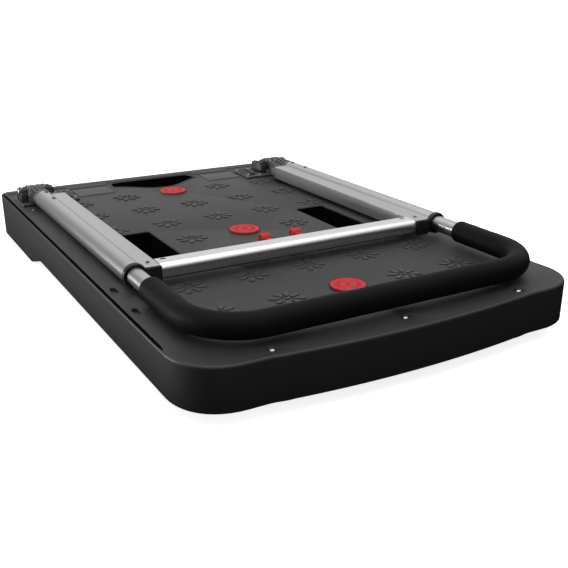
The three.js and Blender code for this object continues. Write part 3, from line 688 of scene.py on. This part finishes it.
def build_rails():
    for name, s in SIDES:
        b = Build()
        bore = [(s * RAIL_X + BORE_R * math.cos(t), RAIL_Z + BORE_R * math.sin(t))
                for t in (2 * math.pi * k / 48 for k in range(48))]
        x = sorted((s * (WEB_IN + 2), s * (RAIL_X - TUBE_R - 0.6)))
        cav = rrect(x[0], x[1], WEB_BOT + 2, WEB_TOP - 2, 1, 3)
        extrude_y(b, rail_profile(s), [bore, cav], RAIL_F, RAIL_B)
        b.make("rail_" + name, M_ALU, "handle_frame", ["side_rail_" + name], angle=38)
        # dark panhead screws: two near the hinge, one at the crossbar joint
        b = Build()
        for y in RAIL_SCREWS_Y:
            b.lathe([(0, 0), (2.9, 0), (2.9, 0.5), (2.2, 1.2), (1.2, 1.4), (1.0, 0.9), (0, 0.9)],
                    (s * (RAIL_X - 1.5), y, RAIL_Z + TUBE_R - 0.3), "z", 20)
        b.lathe([(0, 0), (2.4, 0), (2.4, 0.4), (1.7, 0.9), (1.0, 0.9), (0.9, 0.6), (0, 0.6)],
                (s * JOINT_SCREW[0], JOINT_SCREW[1], WEB_TOP - 0.1), "z", 20)
        b.make("rail_screws_" + name, M_CAST, "handle_frame")
        # black moulded cap
        b = Build()
        f = RAIL_F - 0.3
        ring = [(10.2, f + 2), (10.2, f - 3.6), (10.6, f - 4.4), (11.4, f - 5), (13.0, f - 5),
                (13.6, f - 4.4), (13.8, f - 3.4), (13.8, f)]
        rings = [[(s * RAIL_X + r * math.cos(t), y, RAIL_Z + r * math.sin(t))
                  for t in (2 * math.pi * k / 56 for k in range(56))] for r, y in ring]
        b.rings(rings, closed=True)
        b.box(s * WEB_IN, s * (RAIL_X - 13.0), f - 4.6, f, WEB_BOT, WEB_TOP, r=1.1, seg=3)
        b.make("rail_end_" + name, M_BLACK, "handle_frame", ["rail_cap_" + name])


BAR_ROUND = 8.5


def bar_profile(d, n=12):
    y0, y1, z0, z1 = BAR_F + d, BAR_B - d, WEB_BOT + d, WEB_TOP - d
    r, q = BAR_ROUND - d, max(0.4, 1.2 - d)
    pts = arc(y1 - q, z0 + q, q, -90, 0, 3) + arc(y1 - q, z1 - q, q, 0, 90, 3)
    return pts + arc(y0 + r, z1 - r, r, 90, 180, n) + arc(y0 + r, z0 + r, r, 180, 270, n)


def build_crossbar():
    o, i = bar_profile(0), bar_profile(2)
    xs = [bar_lo[0], bar_hi[0]]
    m = len(o)
    b = Build()
    vv = [(x, *p) for x in xs for p in o] + [(x, *p) for x in xs for p in i]
    ff = [(k, (k + 1) % m, m + (k + 1) % m, m + k) for k in range(m)]
    ff += [(2 * m + k, 3 * m + k, 3 * m + (k + 1) % m, 2 * m + (k + 1) % m) for k in range(m)]
    ff += [(k, 2 * m + k, 2 * m + (k + 1) % m, (k + 1) % m) for k in range(m)]
    ff += [(m + k, m + (k + 1) % m, 3 * m + (k + 1) % m, 3 * m + k) for k in range(m)]
    b.add(vv, ff)
    bar = b.make("crossbar_tube", M_BAR, "handle_frame", ["crossbar"], angle=30)
    tool = Build()
    for _, s in SIDES:
        tool.box(s * 26.1, s * 10.5, BAR_B - 4, BAR_B + 2, RAIL_Z - 4.6, RAIL_Z + 4, r=0)
        tool.box(s * 162, s * 169, -127, -122.4, WEB_TOP - 3, WEB_TOP + 1, r=1.4, seg=3)
    cut_with(bar, tool)
    b = Build()
    for _, s in SIDES:
        b.box(s * 162.6, s * 168.4, -126.4, -123, WEB_TOP - 2.6, WEB_TOP - 0.9, r=0.6)
    b.make("crossbar_latches", M_CAST, "handle_frame")


def cut_with(obj, tool):
    """Subtracts a collected shape from an object and bakes the result into its mesh."""
    me = bpy.data.meshes.new("cutter")
    me.from_pydata([(x * MM, y * MM, z * MM) for x, y, z in tool.v], [], tool.f)
    c = bpy.data.objects.new("cutter", me)
    bpy.context.scene.collection.objects.link(c)
    mod = obj.modifiers.new("cut", "BOOLEAN")
    mod.object = c
    mod.operation = "DIFFERENCE"
    mod.solver = "EXACT"
    dg = bpy.context.evaluated_depsgraph_get()
    done = bpy.data.meshes.new_from_object(obj.evaluated_get(dg))
    obj.modifiers.clear()
    mat = obj.data.materials[0]
    obj.data = done
    done.materials.clear()
    done.materials.append(mat)
    done.shade_smooth()
    done.set_sharp_from_angle(angle=math.radians(35))
    bpy.data.objects.remove(c)


def build_knobs():
    for name, s in SIDES:
        lo, hi = span("release_knob_" + name)
        yk, zk, r = hi[1] - KNOB_R, (lo[2] + hi[2]) / 2, KNOB_R
        b = Build()
        x0, x1 = lo[0], hi[0]
        prof = [(0, x0 + 0.7), (r * 0.55, x0 + 0.7), (r * 0.62, x0 + 0.1), (r * 0.84, x0),
                (r * 0.95, x0 + 0.5), (r, x0 + 1.4), (r, x1 - 1.4), (r * 0.95, x1 - 0.5), (r * 0.84, x1),
                (r * 0.62, x1 - 0.1), (r * 0.55, x1 - 0.7), (0, x1 - 0.7)]
        b.lathe(prof, (0, yk, zk), "x", 48)
        for k in range(3):
            xc = (x0 + x1) / 2 + (k - 1) * 2.6
            b.lathe([(r * 0.98, xc - 0.7), (r * 1.03, xc - 0.3), (r * 1.03, xc + 0.3), (r * 0.98, xc + 0.7)],
                    (0, yk, zk), "x", 48)
        b.box(s * 17.7, s * 25.3, lo[1], yk - 2, zk - 3.6, zk + 3.2, r=0.5)
        b.make("knob_" + name + "_cap", M_RED, "knob_" + name, ["release_knob_" + name])


SPRING_HALF, SPRING_R, WIRE_R, HALF_TURNS, PRESS = 16.4, 2.6, 0.6, 3, 5.0


def build_spring():
    """Return spring between the knobs, in two halves."""
    y0 = (BAR_F + BAR_B) / 2
    for name, s in SIDES:
        rings = []
        steps = 24 * HALF_TURNS
        for i in range(steps + 1):
            t = i / steps
            a = 2 * math.pi * HALF_TURNS * t
            u = Vector((0, math.cos(a), math.sin(a)))
            x = s * (0.2 + (SPRING_HALF - 0.2) * t)
            rings.append([(x + WIRE_R * math.cos(w), y0 + u.y * (SPRING_R + WIRE_R * math.sin(w)),
                           RAIL_Z + u.z * (SPRING_R + WIRE_R * math.sin(w)))
                          for w in (2 * math.pi * k / 10 for k in range(10))])
        b = Build()
        b.rings(rings)
        o = b.make("spring_" + name, M_STEEL, "handle_frame", ["lock_spring"])
        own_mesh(o)


def u_path(start, z, step):
    """Centre line of the U, from its left end round the grip to its right end."""
    pts = []
    rx = RAIL_X
    y = start
    while y > GRIP_Y + BEND:
        pts.append((-rx, y, z))
        y -= step
    pts += [(x, yy, z) for x, yy in arc(-rx + BEND, GRIP_Y + BEND, BEND, 180, 270, 24)]
    n = int((2 * (rx - BEND)) / step)
    pts += [(-rx + BEND + 2 * (rx - BEND) * k / n, GRIP_Y, z) for k in range(1, n)]
    pts += [(x, yy, z) for x, yy in arc(rx - BEND, GRIP_Y + BEND, BEND, 270, 360, 24)]
    y = GRIP_Y + BEND + step
    while y < start:
        pts.append((rx, y, z))
        y += step
    pts.append((rx, start, z))
    return pts


TUBE_OUT, TUBE_IN, FOAM_BORE, TUBE_STEP, FOAM_STEP = 10.0, 8.5, 10.3, 12, 1.6


def foam_radius(i, n, step):
    """Rounded end, a short collar, three shallow rings, then a slightly uneven sleeve."""
    d = min(i, n - 1 - i) * step
    r = FOAM_R - 0.1
    if d < 4:
        r -= 2.6 * (1 - math.sqrt(max(0, 1 - (1 - d / 4) ** 2)))
    for at in (9, 13, 17):
        r -= 0.45 * math.exp(-((d - at) / 0.9) ** 2)
    return r + 0.09 * math.sin(d * 0.11) + 0.05 * math.sin(d * 0.31 + 1)


def build_grip():
    # sliding tube with open ends
    path = u_path(TUBE_END, RAIL_Z, TUBE_STEP)
    outer, inner = sweep_points(path, TUBE_OUT), sweep_points(path, TUBE_IN)
    b = Build()
    b.rings(outer + inner[::-1], closed=True)
    b.make("sliding_tube", M_ALU, "grip", ["grip_tube"])
    path = u_path(FOAM_START, RAIL_Z, FOAM_STEP)
    n = len(path)
    outer = sweep_points(path, [foam_radius(i, n, FOAM_STEP) for i in range(n)])
    inner = sweep_points(path, FOAM_BORE)
    b = Build()
    b.rings(outer + inner[::-1], closed=True)
    foam = b.make("foam_sleeve", M_FOAM, "grip", ["grip_foam"], angle=60)


# --------------------------------------------------------------------- hinges
LUG_R, BARREL_R = 7.4, 8.8


def lug(b, s, x0, x1, r=LUG_R):
    """Upright plate of the hinge bracket with a round head about the pin."""
    xs = sorted((s * x0, s * x1))
    b.box(xs[0], xs[1], PIN_Y - r - 3, PIN_Y + r, H + 0.5, RAIL_Z - 1, r=0.8)
    b.lathe([(r - 0.8, xs[0]), (r, xs[0] + 0.7), (r, xs[1] - 0.7), (r - 0.8, xs[1])],
            (0, PIN_Y, RAIL_Z), "x", 40)


# hinge bracket, distances from the cart's centre line and, for tops, world heights
LUGS = ((182.4, 184.6), (185.8, 188), (217, 220.8), (223.2, 227))
LUG_CORES = ((177.6, 187.6), (218, 226))
INNER_RIBS = ((176, 178.2, 82), (180, 182, 83), (184, 186, 82), (187, 188.2, 80))
STEP_RIBS = ((150, 151.8, 4.0), (154, 157, 5), (160, 163, 7))
CROSS_RIBS_Y, OUTER_RIBS_Y = (283, 290, 297, 304), (284, 289, 295)
BOLTS_X, BOLTS_Y, DECK_BOLT = (148, 170), (274, 317), (219, 243)
# hinge arm and pin
BARREL_X, ARM_RIBS_X = (188.3, 216.7), (192.4, 199.2, 206.0, 212.2)
SLOTS_Y, SLOT_BARS = (244, 253, 262), (55, 80, 105, 130)
PIN_X, PIN_HEAD = (177, 228), 227.3


def bracket(name, s):
    """Cast bracket on the deck, with its lugs and ribs, and the bolts that hold it."""
    base = H + 0.3
    b = Build()
    b.box(s * 144, s * 229, 265, 323, base, base + 2, r=0.8, seg=2)
    # lip round the base plate
    b.box(s * 144.3, s * 228.7, 265.3, 267.6, base + 1, base + 3, r=0.6)
    b.box(s * 144.3, s * 180, 320.6, 322.7, base + 1, base + 3.4, r=0.6)
    b.box(s * 144.3, s * 146.4, 267, 322, base + 1, base + 2.8, r=0.6)
    for x0, x1 in LUGS:
        lug(b, s, x0, x1)
    for x0, x1 in LUG_CORES:
        lug(b, s, x0, x1, LUG_R - 1.6)
    for x0, x1, top in INNER_RIBS:
        b.box(s * x0, s * x1, 286, 315.5, base + 1, top, r=0.7)
    b.box(s * 176.4, s * 188, 309, 314, base + 1, 80, r=0.7)
    b.box(s * 189, s * 227, 311, 317, base + 1, base + 9, r=0.9)
    for k in range(5):
        x = 193 + k * 7
        b.box(s * x, s * (x + 2.2), 306, 311.6, base + 1, base + 8.2, r=0.6)
        b.box(s * x, s * (x + 2.2), 316.4, 321, base + 1, base + 6.4, r=0.6)
    for x0, x1, top in STEP_RIBS:
        b.box(s * x0, s * x1, 279, 311, base + 1, base + top, r=0.6)
    for y0 in CROSS_RIBS_Y:
        b.box(s * 150, s * 166, y0, y0 + 1.8, base + 1, base + 3.8, r=0.5)
    for y0 in OUTER_RIBS_Y:
        b.box(s * 216, s * 228.6, y0, y0 + 1.8, base + 1, RAIL_Z - 4, r=0.5)
    b.make("hinge_casting_" + name, M_CAST, "root", ["hinge_bracket_" + name], angle=35)
    b = Build()
    for bx in BOLTS_X:
        for by in BOLTS_Y:
            c = (s * bx, by, base + 2)
            b.lathe([(0, 0), (5.0, 0), (5.0, 0.4), (4.3, 0.8), (0, 0.8)], c, "z", 28)
            b.lathe([(3.4, 0.6), (3.5, 0.9), (3.5, 2.2), (3.0, 2.8), (0, 2.9)], c, "z", 6, turn=0.4 * bx)
    b.lathe([(0, -0.6), (3.0, -0.6), (3.0, 0.5), (2.3, 1.1), (0, 1.2)],
            (s * DECK_BOLT[0], DECK_BOLT[1], H), "z", 20)
    b.make("hinge_bolts_" + name, M_BOLT, "root")


def arm(name, s):
    """Cast knuckle that turns on the pin and grips the end of the rail."""
    b = Build()
    # barrel about the pin with cast ridges
    xs = sorted(s * x for x in BARREL_X)
    prof = [(BARREL_R - 0.9, xs[0]), (BARREL_R, xs[0] + 0.9)]
    for k in range(3):
        x = xs[0] + 5 + k * 8
        prof += [(BARREL_R, x), (BARREL_R - 1.2, x + 0.5), (BARREL_R - 1.2, x + 1.9), (BARREL_R, x + 2.4)]
    prof += [(BARREL_R, xs[1] - 0.9), (BARREL_R - 0.9, xs[1])]
    b.lathe(prof, (0, PIN_Y, RAIL_Z), "x", 48)
    b.box(s * 192, s * 215, RAIL_B + 1, PIN_Y, 71.6, 86.0, r=1.4, seg=3)
    for x0 in ARM_RIBS_X:
        b.box(s * x0, s * (x0 + 2.4), 274.6, PIN_Y - 1, 80, 88.4, r=0.7)
    # sleeve at the end of the rail, with three slots round it
    prof = [(TUBE_R - 0.6, RAIL_B + 0.3), (TUBE_R, RAIL_B + 1.0)]
    for y in SLOTS_Y:
        prof += [(TUBE_R, y - 2.5), (TUBE_R - 2.2, y - 2.1), (TUBE_R - 2.2, y + 2.1), (TUBE_R, y + 2.5)]
    prof += [(TUBE_R, 272.8), (TUBE_R - 1.2, 274)]
    b.lathe(prof, (s * RAIL_X, 0, RAIL_Z), "y", 48)
    for deg in SLOT_BARS:
        a = math.radians(deg)
        c = (s * RAIL_X + (TUBE_R - 1.2) * math.cos(a) * s, RAIL_Z + (TUBE_R - 1.2) * math.sin(a))
        b.box(c[0] - 1.1, c[0] + 1.1, 240, 268, c[1] - 1.0, c[1] + 1.0, r=0.5)
    b.box(s * 176.9, s * RAIL_X, RAIL_B + 0.3, RAIL_B + 8, WEB_BOT, WEB_TOP, r=1.2, seg=3)
    b.box(s * 178.5, s * 190, RAIL_B + 7, RAIL_B + 20, WEB_BOT + 2, WEB_TOP - 6, r=1.2, seg=2)
    b.lathe([(10.4, 198), (10.5, 199), (10.5, RAIL_B + 6)], (s * RAIL_X, 0, RAIL_Z), "y", 32)
    b.make("hinge_arm_" + name, M_ARM, "handle_frame", ["hinge_knuckle_" + name], angle=35)


def pin(name, s):
    """Pin with a riveted head on the outer side."""
    b = Build()
    a, c = sorted(s * x for x in PIN_X)
    b.lathe([(3.4, a), (4, a + 0.6), (4, c)], (0, PIN_Y, RAIL_Z), "x", 32)
    e = PIN_HEAD
    prof = [(0, 0), (6.0, 0), (6.0, 1.2), (5.0, 1.9), (2.0, 2.2), (0, 2.2)]
    side = [(r, e + h) for r, h in prof] if s > 0 else [(r, -(e + h)) for r, h in reversed(prof)]
    b.lathe(side, (0, PIN_Y, RAIL_Z), "x", 40)
    b.make("pin_" + name, M_BOLT, "root", ["hinge_pin_" + name])


def build_hinges():
    for name, s in SIDES:
        bracket(name, s)
        arm(name, s)
        pin(name, s)


# -------------------------------------------------------------------- castors
WHEEL_X, WHEEL_Z, SPOKES = 125.5, 34.5, 5
HUB_PROFILE = ((4.3, -12), (9, -12), (9.6, -11.4), (9.6, -7), (24, -7), (25.4, -9.6), (29, -10), (29, 10),
               (25.4, 9.6), (24, 7), (9.6, 7), (9.6, 11.4), (9, 12), (4.3, 12), (4.3, 12))
TYRE_PROFILE = ((29.3, -10), (33.4, -10.4), (35.2, -9.2), (36.8, -7), (37.5, -4), (37.5, 4), (36.8, 7),
                (35.2, 9.2), (33.4, 10.4), (29.3, 10))


def dress_castors():
    """Hub and tyre of each stowed wheel, whose axle stands upright."""
    for en, yc in CASTORS_Y:
        for sn, s in SIDES:
            tag = en + "_" + sn
            ax, wz = s * WHEEL_X, WHEEL_Z
            b = Build()
            b.lathe(HUB_PROFILE, (ax, yc, wz), "z", 64)
            for k in range(SPOKES):
                rot = Matrix.Rotation(math.radians(72 * k), 3, "Z")
                b.box(ax + 9, ax + 25, yc - 1.4, yc + 1.4, wz - 9.4, wz + 9.4, r=0.6, rot=rot,
                      at=(ax, yc, wz))
            b.make("wheel_centre_" + tag, M_BLACK, "wheel_" + tag, ["castor_hub_" + tag])
            b = Build()
            rings = [[(ax + r * math.cos(t), yc + r * math.sin(t), wz + h)
                      for t in (2 * math.pi * k / 80 for k in range(80))] for r, h in TYRE_PROFILE]
            b.rings(rings, closed=True)
            b.make("wheel_tyre_" + tag, M_TYRE, "wheel_" + tag, ["castor_tyre_" + tag])


def dress_cad(node, mat, bevel=0.5):
    """Materials and a softened edge for a CAD node that stays."""
    o = frame["nodes"][node]
    o.data.materials.clear()
    o.data.materials.append(mat)
    w = o.modifiers.new("weld", "WELD")
    w.merge_threshold = 1e-6
    v = o.modifiers.new("soft_edges", "BEVEL")
    v.width = bevel * MM
    v.segments = 2
    v.limit_method = "ANGLE"
    v.angle_limit = math.radians(40)
    v.harden_normals = False


build_deck()
build_ribs()
build_marks()
build_rear_rim()
build_discs()
build_pads()
build_rim_screws()
build_rails()
build_crossbar()
build_knobs()
build_grip()
build_hinges()
dress_castors()
for en in ("front", "rear"):
    for sn, _ in SIDES:
        tag = en + "_" + sn
        dress_cad("castor_plate_" + tag, M_STEEL)
        dress_cad("castor_fork_" + tag, M_STEEL)
        dress_cad("castor_axle_" + tag, M_STEEL, 0.3)
        dress_cad("castor_hinge_rod_" + tag, M_STEEL, 0.3)
for sn, _ in SIDES:
    dress_cad("lock_rod_" + sn, M_STEEL, 0.3)
build_spring()


# --------------------------------------------------------------- stage, light
FLOOR_GLOW, FLOOR_SIZE, FLOOR_Z = 0.8, 60, -0.0002
WALL_R, WALL_TOP, WALL_FOOT, WALL_GLOW, WALL_SEG = 28, 30, -1.0, 1.1, 64


def plane(name, size, z, colour):
    me = bpy.data.meshes.new(name)
    h = size / 2
    me.from_pydata([(-h, -h, z), (h, -h, z), (h, h, z), (-h, h, z)], [], [(0, 1, 2, 3)])
    o = bpy.data.objects.new(name, me)
    bpy.context.scene.collection.objects.link(o)
    m = bpy.data.materials.new(name)
    m.use_nodes = True
    p = m.node_tree.nodes["Principled BSDF"]
    p.inputs["Base Color"].default_value = colour
    p.inputs["Roughness"].default_value = 0.9
    p.inputs["Specular IOR Level"].default_value = 0.1
    p.inputs["Emission Color"].default_value = (1, 1, 1, 1)
    p.inputs["Emission Strength"].default_value = FLOOR_GLOW
    me.materials.append(m)
    return o


floor = plane("floor", FLOOR_SIZE, FLOOR_Z, (0.93, 0.93, 0.93, 1))
floor.visible_diffuse = False
floor.visible_glossy = False


def backdrop(radius, height):
    """White wall far round the stage; it neither lights nor shades the object."""
    n = WALL_SEG
    turns = [2 * math.pi * k / n for k in range(n)]
    ring = [(radius * math.cos(t), radius * math.sin(t)) for t in turns]
    me = bpy.data.meshes.new("backdrop")
    me.from_pydata([(x, y, z) for z in (WALL_FOOT, height) for x, y in ring], [],
                   [(k, (k + 1) % n, n + (k + 1) % n, n + k) for k in range(n)])
    m = bpy.data.materials.new("backdrop")
    m.use_nodes = True
    p = m.node_tree.nodes["Principled BSDF"]
    p.inputs["Base Color"].default_value = (0, 0, 0, 1)
    p.inputs["Emission Color"].default_value = (1, 1, 1, 1)
    p.inputs["Emission Strength"].default_value = WALL_GLOW
    me.materials.append(m)
    o = bpy.data.objects.new("backdrop", me)
    bpy.context.scene.collection.objects.link(o)
    o.visible_diffuse = o.visible_glossy = o.visible_shadow = False


backdrop(WALL_R, WALL_TOP)

SKY_TOP, SKY_POWER = 2.1, 3.0
BACK_GLOW, BACK_FADE, BACK_FROM, BACK_TO = 0.92, 1.2, -0.25, 0.5
HORIZON_RISE = 12.0
LEFT_SHARE, LEFT_FROM, LEFT_TO = 0.35, -0.4, 0.15


def studio_sky():
    """World light from above and, lower down, from behind the object; none below the horizon."""
    world = bpy.data.worlds.new("studio")
    bpy.context.scene.world = world
    world.use_nodes = True
    nt = world.node_tree
    N, K = nt.nodes.new, nt.links.new
    bg = nt.nodes["Background"]
    tc, sep = N("ShaderNodeTexCoord"), N("ShaderNodeSeparateXYZ")
    K(tc.outputs["Generated"], sep.inputs[0])

    def op(kind, a, b):
        m = N("ShaderNodeMath")
        m.operation = kind
        for k, v in enumerate((a, b)):
            if isinstance(v, (int, float)):
                m.inputs[k].default_value = v
            else:
                K(v, m.inputs[k])
        return m.outputs[0]

    up = op("MAXIMUM", sep.outputs["Z"], 0.0)
    zenith = op("MULTIPLY", op("POWER", up, SKY_POWER), SKY_TOP)
    behind = N("ShaderNodeMapRange")
    behind.interpolation_type = "SMOOTHSTEP"
    behind.inputs["From Min"].default_value = BACK_FROM
    behind.inputs["From Max"].default_value = BACK_TO
    K(sep.outputs["Y"], behind.inputs["Value"])
    left = N("ShaderNodeMapRange")
    left.interpolation_type = "SMOOTHSTEP"
    left.inputs["From Min"].default_value = LEFT_FROM
    left.inputs["From Max"].default_value = LEFT_TO
    left.inputs["To Min"].default_value = LEFT_SHARE
    K(sep.outputs["X"], left.inputs["Value"])
    fade = op("MAXIMUM", op("SUBTRACT", 1.0, op("MULTIPLY", up, BACK_FADE)), 0.0)
    lit = op("MINIMUM", op("MULTIPLY", up, HORIZON_RISE), 1.0)
    shape = op("MULTIPLY", op("MULTIPLY", behind.outputs[0], left.outputs[0]), op("MULTIPLY", fade, lit))
    glow = op("MULTIPLY", shape, BACK_GLOW)
    K(op("ADD", zenith, glow), bg.inputs["Strength"])
    bg.inputs["Color"].default_value = (1, 1, 1, 1)


studio_sky()


def area_light(name, at, aim, size, power, size_y=None):
    d = bpy.data.lights.new(name, "AREA")
    d.energy = power
    d.size = size
    if size_y:
        d.shape = "RECTANGLE"
        d.size_y = size_y
    o = bpy.data.objects.new(name, d)
    bpy.context.scene.collection.objects.link(o)
    o.location = at
    o.rotation_euler = (Vector(aim) - Vector(at)).to_track_quat("-Z", "Y").to_euler()
    return o


area_light("side_box", (-1.6, 0.85, 0.17), (-0.24, 0.25, 0.03), 0.8, 20, size_y=0.3)
front_fill = area_light("front_fill", (-0.3, -2.6, 0.6), (0, -0.3, 0.03), 1.6, 10)
front_fill.visible_glossy = False

FOCAL_PX, PICTURE_PX, SENSOR_MM = 817.4, 568, 36
CAMERA_AT, PITCH, YAW = (-0.4761, -0.9376, 0.3753), 20.317, 29.8
cam_data = bpy.data.cameras.new("camera")
cam = bpy.data.objects.new("camera", cam_data)
bpy.context.scene.collection.objects.link(cam)
cam_data.sensor_width = SENSOR_MM
cam_data.lens = SENSOR_MM * FOCAL_PX / PICTURE_PX
cam_data.clip_start = 0.01
cam.location = CAMERA_AT
cam.rotation_euler = (math.radians(90 - PITCH), 0, math.radians(-YAW))
bpy.context.scene.camera = cam
bpy.context.scene.view_settings.view_transform = "Standard"
